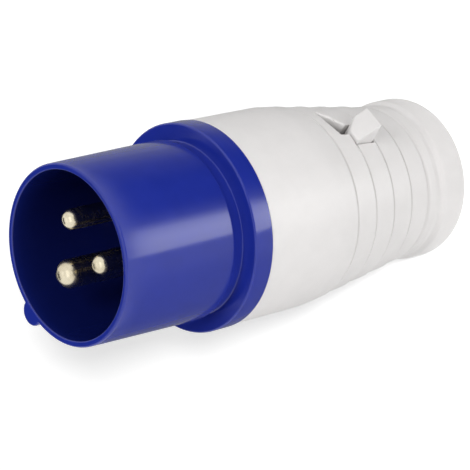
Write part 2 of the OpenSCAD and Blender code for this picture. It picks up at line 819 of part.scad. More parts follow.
module lock_tab() {
    tip_chamfer = 0.4;
    color(shell_white)
        rotate([0, 0, tab_azimuth]) {
            rotate([90, 0, 0]) {
                translate([0, 0, -tab_cheek])
                    linear_extrude(height = tab_width)
                        polygon([[tab_under, tab_back], [tab_crest_radius, tab_back],
                                 [tab_crest_radius, tab_back + tab_crest_flat], [tab_foot_radius, tab_front],
                                 [tab_under, tab_front]]);
                // Hook that drops into the body's spigot.
                translate([0, 0, -hook_width / 2])
                    linear_extrude(height = hook_width)
                        polygon([[hook_tip_radius, hook_back], [tab_under + overlap, hook_back],
                                 [tab_under + overlap, hook_front],
                                 [hook_tip_radius + tip_chamfer, hook_front],
                                 [hook_tip_radius, hook_front - tip_chamfer]]);
            }
            translate([pivot_radius, 0, pivot_height])
                rotate([90, 0, 0])
                    cylinder(r = trunnion_radius, h = trunnion_span, center = true, $fn = small_fn);
        }
}

// ---------------------------------------------------------------- cable gland

module clamp_cage() {
    cage_flange_step = 1.2;
    cage_flange_thickness = 1.4;
    flange_outer = cage_radius + cage_flange_step;
    cage_front = grip_floor + cage_flange_thickness;
    color(clamp_grey)
        difference() {
            turned() {
                band(cage_bore, cage_radius, clamp_back, cage_front);
                band(cage_bore, flange_outer, grip_floor + face_gap, cage_front);
            }
            for (index = [0:cage_finger_count - 1])
                rotate([0, 0, (index + 0.5) * 360 / cage_finger_count])
                    translate([cage_bore - margin, -cage_slot_width / 2, clamp_back - margin])
                        cube([cage_wall + 2 * margin, cage_slot_width, cage_slot_length + margin]);
        }
}

module sealing_grommet() {
    groove_section = 0.6;
    groove_count = 3;
    edge_rounding = 0.6;
    grommet_front = clamp_back + grommet_length;
    groove_pitch = grommet_length / (groove_count + 1);
    color(rubber_black)
        turned()
            difference() {
                band_rounded(grommet_bore_radius, grommet_radius, clamp_back, grommet_front, edge_rounding);
                for (index = [1:groove_count])
                    translate([grommet_radius, clamp_back + index * groove_pitch])
                        circle(r = groove_section, $fn = small_fn);
            }
}

module slip_ring() {
    slip_ring_front = slip_ring_back + slip_ring_thickness;
    color(clamp_grey)
        turned() band(slip_ring_bore, nut_bore_radius - plug_fit, slip_ring_back, slip_ring_front);
}

module gland_nut() {
    nut_front = nut_length - moving_gap / 2;
    waist_height = 0.7 * nut_front;
    waist_floor = (nut_radius + nut_lip_radius) / 2 - nut_waist_depth;
    shoulder = nut_shoulder_radius;
    core = nut_radius - shoulder;
    bulge_front = waist_height - 2;
    lip_swell = 0.1;
    lip_chamfer = 0.4;
    lip_back = nut_front - 0.6;
    color(shell_white)
        difference() {
            turned()
                difference() {
                    union() {
                        band(cable_hole_radius, core, 0, nut_front);
                        polygon([[core, shoulder], [nut_radius, shoulder], [nut_radius, bulge_front],
                                 [nut_lip_radius + lip_swell, lip_back],
                                 [nut_lip_radius - lip_chamfer, nut_front], [core, nut_front]]);
                        intersection() {
                            translate([core, shoulder]) circle(r = shoulder, $fn = round_fn);
                            band(cable_hole_radius, nut_radius, 0, shoulder + overlap);
                        }
                    }
                    translate([waist_floor + nut_waist_curve, waist_height])
                        circle(r = nut_waist_curve, $fn = round_fn);
                }
            translate([0, 0, nut_floor]) cylinder(r = nut_bore_radius, h = nut_length, $fn = round_fn);
        }
}

// ---------------------------------------------------------------- output

front_shroud();
contact_carrier();
line_pin();
neutral_pin();
earth_pin();
line_terminal_screw();
neutral_terminal_screw();
earth_terminal_screw();
terminal_cover();
carrier_screw_1();
carrier_screw_2();
carrier_screw_3();
flange_seal();
body_shell();
grip_seal();
grip_housing();
lock_tab();
sealing_grommet();
clamp_cage();
slip_ring();
gland_nut();
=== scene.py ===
"""Looks of an industrial pin and sleeve plug: blue keyed shroud, white twist-lock body, cable gland."""

import logging
import math
from dataclasses import dataclass, field, replace
from enum import Enum
from typing import Any, ClassVar, Optional, Sequence, Union

import bmesh
import bpy
from mathutils import Matrix, Vector


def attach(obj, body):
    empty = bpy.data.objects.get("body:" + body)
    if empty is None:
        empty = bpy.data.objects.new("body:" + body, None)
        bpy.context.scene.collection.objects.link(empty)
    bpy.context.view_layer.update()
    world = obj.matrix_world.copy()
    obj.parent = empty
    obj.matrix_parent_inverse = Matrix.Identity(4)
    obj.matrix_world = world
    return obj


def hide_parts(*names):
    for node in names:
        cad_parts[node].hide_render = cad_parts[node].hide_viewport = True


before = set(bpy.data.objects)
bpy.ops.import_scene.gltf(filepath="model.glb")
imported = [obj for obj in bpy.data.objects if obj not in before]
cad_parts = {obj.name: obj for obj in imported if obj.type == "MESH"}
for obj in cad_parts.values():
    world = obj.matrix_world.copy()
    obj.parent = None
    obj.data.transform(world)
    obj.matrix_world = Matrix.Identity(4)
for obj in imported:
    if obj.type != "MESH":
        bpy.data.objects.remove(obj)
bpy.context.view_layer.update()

MM = 0.001
MERGE_DISTANCE = 2e-7
SLIVER_LENGTH = 1e-7
SHARP_ANGLE = 32.0
TAB_AZIMUTH = 93.5
TAB_PIVOT = (20.983, 32.05)
LUG_AZIMUTHS = (270.0, 30.0, 150.0)
LOG = logging.getLogger("plug")
Point = tuple[float, float]
Colour = tuple[float, float, float]
Corner = Union[Point, tuple[float, float, float]]
Socket = bpy.types.NodeSocket
Material = bpy.types.Material
Thing = bpy.types.Object
BMesh = bmesh.types.BMesh
WHITE = (1.0, 1.0, 1.0, 1.0)


# ----- shader expressions


class Flow:
    """A shader socket that can stand in a Python expression."""

    def __init__(self, graph: "Graph", socket: Optional[Socket]) -> None:
        """Wraps an output socket of a graph."""
        self.graph = graph
        self.socket = socket

    def __add__(self, other: "Value") -> "Flow":
        """Sum."""
        return self.graph.calculate("ADD", self, other)

    def __radd__(self, other: "Value") -> "Flow":
        """Sum, reflected."""
        return self.graph.calculate("ADD", other, self)

    def __sub__(self, other: "Value") -> "Flow":
        """Difference."""
        return self.graph.calculate("SUBTRACT", self, other)

    def __rsub__(self, other: "Value") -> "Flow":
        """Difference, reflected."""
        return self.graph.calculate("SUBTRACT", other, self)

    def __mul__(self, other: "Value") -> "Flow":
        """Product."""
        return self.graph.calculate("MULTIPLY", self, other)

    def __rmul__(self, other: "Value") -> "Flow":
        """Product, reflected."""
        return self.graph.calculate("MULTIPLY", other, self)


Value = Union[Flow, float, Sequence[float]]
Inputs = dict[Union[int, str], Value]


class Graph:
    """The node graph of one material or of the world."""

    def __init__(self, tree: bpy.types.NodeTree) -> None:
        """Empties a node tree, to be filled."""
        self.tree = tree
        self.tree.nodes.clear()

    def add(
        self,
        kind: str,
        settings: Optional[dict[str, Any]] = None,
        inputs: Optional[Inputs] = None,
        output: Union[int, str] = 0,
    ) -> Flow:
        """Adds any node.

        Args:
            kind: The node's type.
            settings: Its settings, set first; "stops" gives a colour ramp's stops.
            inputs: Values or links for its sockets, by name or number.
            output: The output to hand back.

        Returns:
            That output of the new node.
        """
        node = self.tree.nodes.new(kind)
        for name, setting in (settings or {}).items():
            if name == "stops":
                self._set_stops(node.color_ramp, setting)
            else:
                setattr(node, name, setting)
        for name, value in (inputs or {}).items():
            if isinstance(value, Flow):
                self.tree.links.new(value.socket, node.inputs[name])
            else:
                node.inputs[name].default_value = value
        return Flow(self, node.outputs[output]) if len(node.outputs) else Flow(self, None)

    @staticmethod
    def _set_stops(ramp: bpy.types.ColorRamp, stops: Sequence[Point]) -> None:
        """Sets a ramp's stops.

        Args:
            ramp: The colour ramp.
            stops: Pairs of a position and a grey level.
        """
        while len(ramp.elements) < len(stops):
            ramp.elements.new(1.0)
        for element, (position, level) in zip(ramp.elements, stops):
            element.position = position
            element.color = (level, level, level, 1.0)

    def place(self) -> Flow:
        """Position on the piece, in millimetres."""
        raw = self.add("ShaderNodeTexCoord", output="Object")
        return self.add("ShaderNodeVectorMath", {"operation": "SCALE"}, {0: raw, "Scale": 1.0 / MM})

    def calculate(self, operation: str, first: Value, second: Value) -> Flow:
        """The result of one Math node."""
        return self.add("ShaderNodeMath", {"operation": operation}, {0: first, 1: second})

    def noise(self, vector: Flow, scale: float, detail: float = 2.0, roughness: float = 0.5) -> Flow:
        """Noise between 0 and 1, with lumps per millimetre, finer octaves and their share."""
        inputs = {"Vector": vector, "Scale": scale, "Detail": detail, "Roughness": roughness}
        return self.add("ShaderNodeTexNoise", {"noise_dimensions": "3D"}, inputs)

    def stretch(self, vector: Flow, factors: Sequence[float]) -> Flow:
        """A position scaled by one factor for each axis."""
        return self.add("ShaderNodeVectorMath", {"operation": "MULTIPLY"}, {0: vector, 1: factors})

    def length(self, vector: Flow) -> Flow:
        """A vector's length."""
        return self.add("ShaderNodeVectorMath", {"operation": "LENGTH"}, {0: vector}, output="Value")

    def radius(self, vector: Flow) -> Flow:
        """A position's distance from the upright axis."""
        return self.length(self.stretch(vector, (1.0, 1.0, 0.0)))

    def axis(self, vector: Flow, name: str) -> Flow:
        """One part of a vector: X, Y or Z."""
        return self.add("ShaderNodeSeparateXYZ", None, {0: vector}, output=name)

    def ramp(self, value: Flow, stops: Sequence[Point]) -> Flow:
        """A value remapped through a grey ramp, whose stops are positions and levels."""
        return self.add("ShaderNodeValToRGB", {"stops": stops}, {"Fac": value})

    def mix(self, factor: Value, first: Value, second: Value) -> Flow:
        """Two colours mixed, with the factor as the second one's share."""
        colours = {0: factor, 6: with_alpha(first), 7: with_alpha(second)}
        return self.add("ShaderNodeMix", {"data_type": "RGBA"}, colours, output=2)

    def bump(self, height: Flow, depth: float, strength: float = 1.0, over: Optional[Flow] = None) -> Flow:
        """Turns a height into a normal.

        Args:
            height: The height, between 0 and 1.
            depth: The height's full range in millimetres.
            strength: Share of the effect.
            over: A normal to build on.

        Returns:
            The new normal.
        """
        inputs: Inputs = {"Height": height, "Distance": depth * MM, "Strength": strength}
        if over is not None:
            inputs["Normal"] = over
        return self.add("ShaderNodeBump", None, inputs)

    def surface(self, inputs: Inputs) -> None:
        """Ends a material with one Principled shader."""
        shader = self.add("ShaderNodeBsdfPrincipled", None, inputs, output="BSDF")
        self.add("ShaderNodeOutputMaterial", None, {"Surface": shader})

    def shine(self, strength: Value) -> None:
        """Ends a material with white light of a strength."""
        glow = self.add("ShaderNodeEmission", None, {"Color": WHITE, "Strength": strength})
        self.add("ShaderNodeOutputMaterial", None, {"Surface": glow})


def with_alpha(colour: Value) -> Value:
    """Adds an alpha of 1 to a plain colour and leaves links as they are."""
    if isinstance(colour, Flow) or len(colour) == 4:
        return colour
    return (*colour, 1.0)


def tint(colour: Colour, factor: float) -> Colour:
    """A colour made lighter or darker by a factor."""
    return tuple(min(1.0, channel * factor) for channel in colour)


def start_material(name: str) -> tuple[Material, Graph]:
    """Makes an empty material.

    Args:
        name: Its name.

    Returns:
        The material and its graph.
    """
    made = bpy.data.materials.new(name)
    made.use_nodes = True
    return made, Graph(made.node_tree)


# ----- finishes


class Grain(Enum):
    """How a mould's wall was finished: lumps per millimetre and depth in millimetres."""

    POLISHED = (2.2, 0.0015)
    SATIN = (3.4, 0.006)
    ERODED = (2.6, 0.014)


@dataclass(frozen=True)
class MouldedFinish:
    """Thermoplastic as it comes out of the mould.

    The skin is the outer surface as a radius at height 0 and the radius gained for each millimetre,
    down to the height where it ends. What lies below it gets painted shade, darker with depth, as the
    shade's stops say, which are a fifth of the depth in millimetres and the share of painted shade.
    """

    SINKS: ClassVar[float] = 0.11
    FLOW: ClassVar[float] = 0.19
    HAIRS: ClassVar[float] = 3.1
    PATCHES: ClassVar[float] = 0.33
    IOR: ClassVar[float] = 1.49
    # Painted shade below the skin: depth scale in millimetres and how dark the shade's colour is.
    PAINTED_SHADE_DEPTH: ClassVar[float] = 5.0
    PAINTED_SHADE_TINT: ClassVar[float] = 0.2

    name: str
    colour: Colour
    roughness: float
    grain: Grain
    mottle: float = 0.05
    ripple: float = 0.03
    gloss_level: float = 0.5
    handling: float = 0.25
    skin: Optional[Point] = None
    skin_end: float = 0.0
    # Stops of the painted shade below the skin.
    shade: tuple[Point, ...] = ((0.08, 0.0), (0.3, 0.2), (0.5, 0.45))

    def material(self) -> Material:
        """Builds the material.

        Returns:
            Moulded plastic with grain, faint sink ripples, flow mottling, handling marks and, where a skin is
            given, painted shade below it.
        """
        made, graph = start_material(self.name)
        place = graph.place()
        lumps, depth = self.grain.value
        grain = graph.noise(place, lumps, 3.0, 0.55)
        ripple = graph.noise(graph.stretch(place, (1.0, 1.0, 0.45)), self.SINKS, 1.5, 0.4)
        flow = graph.noise(place, self.FLOW, 4.0, 0.6)
        hairs = graph.noise(graph.stretch(place, (1.0, 1.0, 0.06)), self.HAIRS, 2.0, 0.7)
        hairlines = graph.ramp(hairs, ((0.63, 0.0), (0.7, 1.0)))
        patches = graph.ramp(graph.noise(place, self.PATCHES, 3.0, 0.65), ((0.48, 0.0), (0.72, 1.0)))
        marks = hairlines * patches * self.handling
        shade = graph.mix(
            graph.ramp(flow, ((0.3, 0.0), (0.7, 1.0))),
            tint(self.colour, 1.0 - self.mottle),
            tint(self.colour, 1.0 + self.mottle * 0.5),
        )
        rubbed = tint(self.colour, 1.35 if sum(self.colour) < 1.5 else 0.86)
        worn_and_painted_shade = graph.mix(marks * 0.35, shade, rubbed)
        # Painted shade: grooves, recesses and bores below the skin are darkened to stand in for shadow.
        if self.skin is not None:
            worn_and_painted_shade = graph.mix(self._painted_shade_share(graph, place), worn_and_painted_shade, tint(self.colour, self.PAINTED_SHADE_TINT))
        roughness = self.roughness + (grain - 0.5) * 0.08 + (flow - 0.5) * 0.1 + marks * 0.18
        waved = graph.bump(ripple, self.ripple)
        scratched = graph.bump(marks, 0.004, 0.6, waved)
        normal = graph.bump(grain, depth, 1.0, scratched)
        graph.surface(
            {
                "Base Color": worn_and_painted_shade,
                "Roughness": roughness,
                "Normal": normal,
                "IOR": self.IOR,
                "Specular IOR Level": self.gloss_level,
            }
        )
        return made

    def _painted_shade_share(self, graph: Graph, place: Flow) -> Flow:
        """Finds the share of painted shade in grooves, recesses and bores below the skin.

        Args:
            graph: The material's graph.
            place: Position on the piece in millimetres.

        Returns:
            The share of painted shade, from 0 on the skin to its most deep inside.
        """
        base, gain = self.skin
        height = graph.axis(place, "Z")
        depth = height * gain + base - graph.radius(place)
        above = graph.calculate("GREATER_THAN", height, self.skin_end)
        return graph.ramp(depth * (1.0 / self.PAINTED_SHADE_DEPTH), self.shade) * above


@dataclass(frozen=True)
class TurnedFinish:
    """Plated brass turned on a lathe, with rings about its own axis."""

    RINGS_UP: ClassVar[float] = 1.6
    RINGS_OUT: ClassVar[float] = 3.0

    name: str
    colour: Colour
    tarnish: Colour
    roughness: float
    centre: Point

    def material(self) -> Material:
        """Builds the material.

        Returns:
            Metal with turning rings on its sides and its end, and a little tarnish.
        """
        made, graph = start_material(self.name)
        place = graph.place()
        middle = (self.centre[0], self.centre[1], 0.0)
        local = graph.add("ShaderNodeVectorMath", {"operation": "SUBTRACT"}, {0: place, 1: middle})
        along = graph.axis(local, "Z") * self.RINGS_UP + graph.radius(local) * self.RINGS_OUT
        inputs = {"W": along, "Scale": 1.0, "Detail": 1.0}
        rings = graph.add("ShaderNodeTexNoise", {"noise_dimensions": "1D"}, inputs)
        cloud = graph.noise(place, 0.4, 2.0, 0.5)
        stain = graph.ramp(cloud, ((0.42, 0.0), (0.75, 1.0)))
        colour = graph.mix(stain * 0.45 + (rings - 0.5) * 0.12, self.colour, self.tarnish)
        roughness = self.roughness + (rings - 0.5) * 0.1 + stain * 0.1
        normal = graph.bump(rings, 0.0005, 0.4)
        looks = {"Base Color": colour, "Metallic": 1.0, "Roughness": roughness, "Normal": normal}
        graph.surface(looks)
        return made


@dataclass(frozen=True)
class PlatedFinish:
    """Zinc-plated steel of small screws."""

    name: str
    colour: Colour
    roughness: float

    def material(self) -> Material:
        """Builds the material.

        Returns:
            Plated steel with a fine drawn grain and dull patches.
        """
        made, graph = start_material(self.name)
        place = graph.place()
        crystals = graph.noise(place, 5.0, 3.0, 0.6)
        patches = graph.noise(place, 0.7, 2.0, 0.5)
        dull = graph.ramp(patches, ((0.35, 0.0), (0.7, 1.0)))
        colour = graph.mix(dull, self.colour, tint(self.colour, 0.78))
        roughness = self.roughness + (crystals - 0.5) * 0.16 + (patches - 0.5) * 0.12
        normal = graph.bump(crystals, 0.004, 0.8)
        looks = {"Base Color": colour, "Metallic": 1.0, "Roughness": roughness, "Normal": normal}
        graph.surface(looks)
        return made


@dataclass(frozen=True)
class RubberFinish:
    """Moulded sealing rubber with a faint bloom."""

    name: str
    colour: Colour
    bloom: Colour

    def material(self) -> Material:
        """Builds the material.

        Returns:
            Dark rubber with pores and a grey bloom in patches.
        """
        made, graph = start_material(self.name)
        place = graph.place()
        pores = graph.noise(place, 4.0, 3.0, 0.6)
        patches = graph.ramp(graph.noise(place, 0.4, 3.0, 0.6), ((0.45, 0.0), (0.8, 1.0)))
        colour = graph.mix(patches * 0.6, self.colour, self.bloom)
        graph.surface(
            {
                "Base Color": colour,
                "Roughness": 0.62 + patches * 0.15 + (pores - 0.5) * 0.1,
                "Normal": graph.bump(pores, 0.015, 0.8),
                "Specular IOR Level": 0.4,
            }
        )
        return made


# ----- meshes


def rounded(corners: Sequence[Corner], closed: bool = True, steps: int = 6) -> list[Point]:
    """Rounds the corners of a turned profile.

    Args:
        corners: Radius, height and, where it is rounded, rounding of each corner in order.
        closed: Whether the last corner joins the first.
        steps: Number of steps in each rounding.

    Returns:
        The profile's points.
    """
    points: list[Point] = []
    spots = [Vector(corner[:2]) for corner in corners]
    for index, (here, corner) in enumerate(zip(spots, corners)):
        at_end = not closed and index in (0, len(spots) - 1)
        if len(corner) < 3 or at_end:
            points.append((here.x, here.y))
            continue
        before = spots[index - 1] - here
        after = spots[(index + 1) % len(spots)] - here
        half = before.angle(after) / 2
        reach = min(corner[2] / math.tan(half), before.length * 0.49, after.length * 0.49)
        radius = reach * math.tan(half)
        centre = here + (before.normalized() + after.normalized()).normalized() * (radius / math.sin(half))
        start = here + before.normalized() * reach - centre
        sweep = (here + after.normalized() * reach - centre).angle_signed(start)
        for step in range(steps + 1):
            turned = start.copy()
            turned.rotate(Matrix.Rotation(sweep * step / steps, 2))
            points.append((centre.x + turned.x, centre.y + turned.y))
    return points


def polar(radius: float, azimuth: float, height: float) -> Vector:
    """A point at a radius, an azimuth in degrees and a height."""
    turn = math.radians(azimuth)
    return Vector((radius * math.cos(turn), radius * math.sin(turn), height))


class Solid:
    """A mesh that is built in the plug's frame and cut to shape."""

    def __init__(self, name: str, mesh: BMesh) -> None:
        """Makes an object of a mesh.

        Args:
            name: The piece's name.
            mesh: Its mesh in millimetres, which is used up.
        """
        bmesh.ops.recalc_face_normals(mesh, faces=mesh.faces)
        data = bpy.data.meshes.new(name)
        mesh.transform(Matrix.Scale(MM, 4))
        mesh.to_mesh(data)
        mesh.free()
        self.object = bpy.data.objects.new(name, data)
        bpy.context.scene.collection.objects.link(self.object)

    @classmethod
    def turned(cls, name: str, profile: Sequence[Point], segments: int = 192) -> "Solid":
        """Revolves a closed profile about +Z.

        Args:
            name: The piece's name.
            profile: Points as radius and height.
            segments: Number of steps round the axis.

        Returns:
            The solid of revolution.
        """
        mesh = bmesh.new()
        rings = []
        for radius, height in profile:
            turns = [360.0 * step / segments for step in range(segments)] if radius > 0.0 else [0.0]
            rings.append([mesh.verts.new(polar(radius, turn, height)) for turn in turns])
        for first, second in zip(rings, rings[1:] + rings[:1]):
            if len(first) == 1 and len(second) == 1:
                continue
            for step in range(segments):
                after = (step + 1) % segments
                corners = [first[step % len(first)], second[step % len(second)]]
                corners += [second[after % len(second)], first[after % len(first)]]
                unique = list(dict.fromkeys(corners))
                if len(unique) > 2:
                    mesh.faces.new(unique)
        return cls(name, mesh)

    @classmethod
    def layered(cls, layers: Sequence[Sequence[Vector]], name: str = "tool") -> "Solid":
        """Joins stacked outlines of equal length into a closed body.

        Args:
            layers: Outlines from bottom to top, each point in millimetres.
            name: The piece's name.

        Returns:
            The closed body.
        """
        mesh = bmesh.new()
        rings = [[mesh.verts.new(point) for point in layer] for layer in layers]
        count = len(rings[0])
        for low, high in zip(rings, rings[1:]):
            for index in range(count):
                after = (index + 1) % count
                mesh.faces.new((low[index], low[after], high[after], high[index]))
        mesh.faces.new(rings[0][::-1])
        mesh.faces.new(rings[-1])
        return cls(name, mesh)

    @classmethod
    def sector(cls, radii: Point, turns: Point, heights: Point, steps: int) -> "Solid":
        """A block that is a part of a ring.

        Args:
            radii: Its inner and its outer radius.
            turns: The azimuths in degrees where it starts and ends.
            heights: Its bottom and its top.
            steps: Number of steps along it.

        Returns:
            The block.
        """
        way = [turns[0] + (turns[1] - turns[0]) * step / steps for step in range(steps + 1)]
        layers = []
        for height in heights:
            layer = [polar(radii[1], turn, height) for turn in way]
            layers.append(layer + [polar(radii[0], turn, height) for turn in reversed(way)])
        return cls.layered(layers)

    @classmethod
    def pivot(cls, radius: float, length: float) -> "Solid":
        """A cylinder across the lock tab, on its pivot, in the tab's own frame."""
        across = Matrix.Translation((TAB_PIVOT[0], 0, TAB_PIVOT[1])) @ Matrix.Rotation(math.pi / 2, 4, "X")
        return cls.cylinder(radius, length, across, 48)

    @classmethod
    def cylinder(cls, radius: float, length: float, matrix: Matrix, segments: int = 64) -> "Solid":
        """A cylinder, centred and then moved.

        Args:
            radius: Its radius.
            length: Its length.
            matrix: Where it goes.
            segments: Number of steps round the axis.

        Returns:
            The cylinder.
        """
        mesh = bmesh.new()
        size = {"radius1": radius, "radius2": radius, "depth": length}
        bmesh.ops.create_cone(mesh, cap_ends=True, segments=segments, matrix=matrix, **size)
        return cls("tool", mesh)

    @classmethod
    def block(cls, low: Sequence[float], high: Sequence[float], matrix: Matrix) -> "Solid":
        """A box between two corners, then moved.

        Args:
            low: Its lowest corner.
            high: Its highest corner.
            matrix: Where it goes.

        Returns:
            The box.
        """
        mesh = bmesh.new()
        size = Vector(high) - Vector(low)
        middle = (Vector(high) + Vector(low)) / 2
        fitted = matrix @ Matrix.Translation(middle) @ Matrix.Diagonal((*size, 1.0))
        bmesh.ops.create_cube(mesh, size=1.0, matrix=fitted)
        return cls("tool", mesh)

    def combine(self, other: "Solid", operation: str) -> "Solid":
        """Applies one boolean with another solid, which is used up.

        Args:
            other: The second solid.
            operation: DIFFERENCE or UNION.

        Returns:
            This solid.
        """
        modifier = self.object.modifiers.new("cut", "BOOLEAN")
        modifier.operation = operation
        modifier.solver = "EXACT"
        modifier.object = other.object
        self.settle()
        leftover = other.object.data
        bpy.data.objects.remove(other.object)
        bpy.data.meshes.remove(leftover)
        return self

    def cut(self, other: "Solid") -> "Solid":
        """Takes another solid away."""
        return self.combine(other, "DIFFERENCE")

    def join(self, other: "Solid") -> "Solid":
        """Fuses another solid on."""
        return self.combine(other, "UNION")

    def bevel(self, width: float, segments: int = 3, angle: float = 35.0) -> "Solid":
        """Rounds the sharp edges.

        Args:
            width: Width of the rounding in millimetres.
            segments: Number of steps.
            angle: Smallest angle in degrees that counts as an edge.

        Returns:
            This solid.
        """
        modifier = self.object.modifiers.new("round", "BEVEL")
        modifier.width = width * MM
        modifier.segments = segments
        modifier.limit_method = "ANGLE"
        modifier.angle_limit = math.radians(angle)
        self.settle()
        return self

    def turn(self, azimuth: float) -> "Solid":
        """Turns the solid about the plug's axis to an azimuth."""
        self.object.data.transform(spin(azimuth))
        return self

    def settle(self) -> None:
        """Turns the modifiers into plain mesh."""
        graph = bpy.context.evaluated_depsgraph_get()
        settled = bpy.data.meshes.new_from_object(self.object.evaluated_get(graph))
        former = self.object.data
        self.object.modifiers.clear()
        self.object.data = settled
        bpy.data.meshes.remove(former)

    def finish(self, body: str, node: str, slot: str, look: Material) -> Thing:
        """Cleans, shades and dresses the piece and puts it in its CAD node's place.

        Args:
            body: The CAD body that it rides on.
            node: The CAD node that it stands for.
            slot: Name of a material slot; not used.
            look: Its material.

        Returns:
            The finished object.
        """
        mesh = bmesh.new()
        mesh.from_mesh(self.object.data)
        bmesh.ops.remove_doubles(mesh, verts=mesh.verts, dist=MERGE_DISTANCE)
        bmesh.ops.dissolve_degenerate(mesh, edges=mesh.edges, dist=SLIVER_LENGTH)
        mesh.to_mesh(self.object.data)
        mesh.free()
        self.object.data.shade_smooth()
        self.object.data.set_sharp_from_angle(angle=math.radians(SHARP_ANGLE))
        self.object.data.materials.clear()
        self.object.data.materials.append(look)
        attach(self.object, body)
        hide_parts(node)
        LOG.info("%s: %d faces", self.object.name, len(self.object.data.polygons))
        return self.object


def spin(degrees: float) -> Matrix:
    """A turn about the plug's axis."""
    return Matrix.Rotation(math.radians(degrees), 4, "Z")


class Piece:
    """A visible piece that takes the place of one CAD node."""

    node: ClassVar[str]
    body: ClassVar[str] = "plug_body"
    slot: ClassVar[str] = "shell_white"

    def shape(self) -> Solid:
        """The piece's solid."""
        raise NotImplementedError

    def build(self, look: Material) -> Thing:
        """Shapes and dresses the piece."""
        return self.shape().finish(self.body, self.node, self.slot, look)


# ----- front of the plug


@dataclass
class FrontShroud(Piece):
    """Blue moulding: shroud, key rib, groove, flange, pin floor and spigot."""

    node: ClassVar[str] = "front_shroud"
    slot: ClassVar[str] = "shroud_blue"
    body_front: float = 72.9
    flange_front: float = 78.6
    rim: float = 114.6
    shroud_radius: float = 21.75
    root_radius: float = 22.0
    cavity_radius: float = 20.2
    floor_radius: float = 19.75
    groove_radius: float = 21.05
    groove_front: float = 81.9
    flange_radius: float = 25.5
    spigot_radius: float = 22.4
    spigot_bore: float = 20.5
    spigot_back: float = 66.5
    floor_back: float = 73.5
    key_radius: float = 3.3
    key_centre: float = 21.3
    key_set_in: float = 0.7
    key_root: float = 0.2
    flange_draft: float = 0.08
    bead: tuple[float, ...] = (0.5, 0.8, 1.1, 1.4)
    bead_step: float = 0.38
    pin_circle: float = 8.0
    pins: tuple[Point, ...] = ((30.0, 2.96), (150.0, 2.96), (270.0, 3.96))

    @property
    def skin(self) -> Point:
        """The shroud's outside, as its radius at height 0 and its gain for each millimetre."""
        gain = (self.shroud_radius - self.root_radius) / (self.rim - self.groove_front)
        return self.root_radius - self.groove_front * gain, gain

    def profile(self) -> list[Point]:
        """Lists the turned profile.

        Returns:
            Its points, with the corners rounded.
        """
        bead = self.spigot_radius + self.bead_step
        back, start, end, front = (self.spigot_back + rise for rise in self.bead)
        corners = [
            (0.0, self.flange_front),
            (self.floor_radius, self.flange_front, 0.7),
            (self.cavity_radius, self.rim, 0.35),
            (self.shroud_radius, self.rim, 0.5),
            (self.root_radius, self.groove_front, 0.45),
            (self.groove_radius, self.groove_front, 0.15),
            (self.groove_radius, self.flange_front, 0.35),
            (self.flange_radius, self.flange_front, 0.45),
            (self.flange_radius - self.flange_draft, self.body_front, 0.3),
            (self.spigot_radius, self.body_front, 0.1),
            (self.spigot_radius, front),
            (bead, end, 0.1),
            (bead, start, 0.1),
            (self.spigot_radius, back),
            (self.spigot_radius, self.spigot_back, 0.3),
            (self.spigot_bore, self.spigot_back, 0.2),
            (self.spigot_bore, self.floor_back, 0.3),
            (0.0, self.floor_back),
        ]
        return rounded(corners)

    def key(self) -> Solid:
        """The polarising key along the shroud.

        Returns:
            The key, rounded at its front end.
        """
        root = self.flange_front - self.key_root
        corners = [(0.0, self.rim), (self.key_radius, self.rim, 0.45), (self.key_radius, root), (0.0, root)]
        rib = Solid.turned("key", rounded(corners), 64)
        rib.object.data.transform(Matrix.Translation((0.0, -self.key_centre * MM, 0.0)))
        hollow = Matrix.Translation((0, 0, self.rim))
        return rib.cut(Solid.cylinder(self.shroud_radius - self.key_set_in, 90.0, hollow, 96))

    def shape(self) -> Solid:
        """Builds the solid.

        Returns:
            The moulding with its key and the pins' holes.
        """
        piece = Solid.turned("shroud_moulding", self.profile(), 224)
        piece.join(self.key())
        for azimuth, radius in self.pins:
            seat = spin(azimuth) @ Matrix.Translation((self.pin_circle, 0.0, self.flange_front))
            piece.cut(Solid.cylinder(radius, 30.0, seat))
        return piece


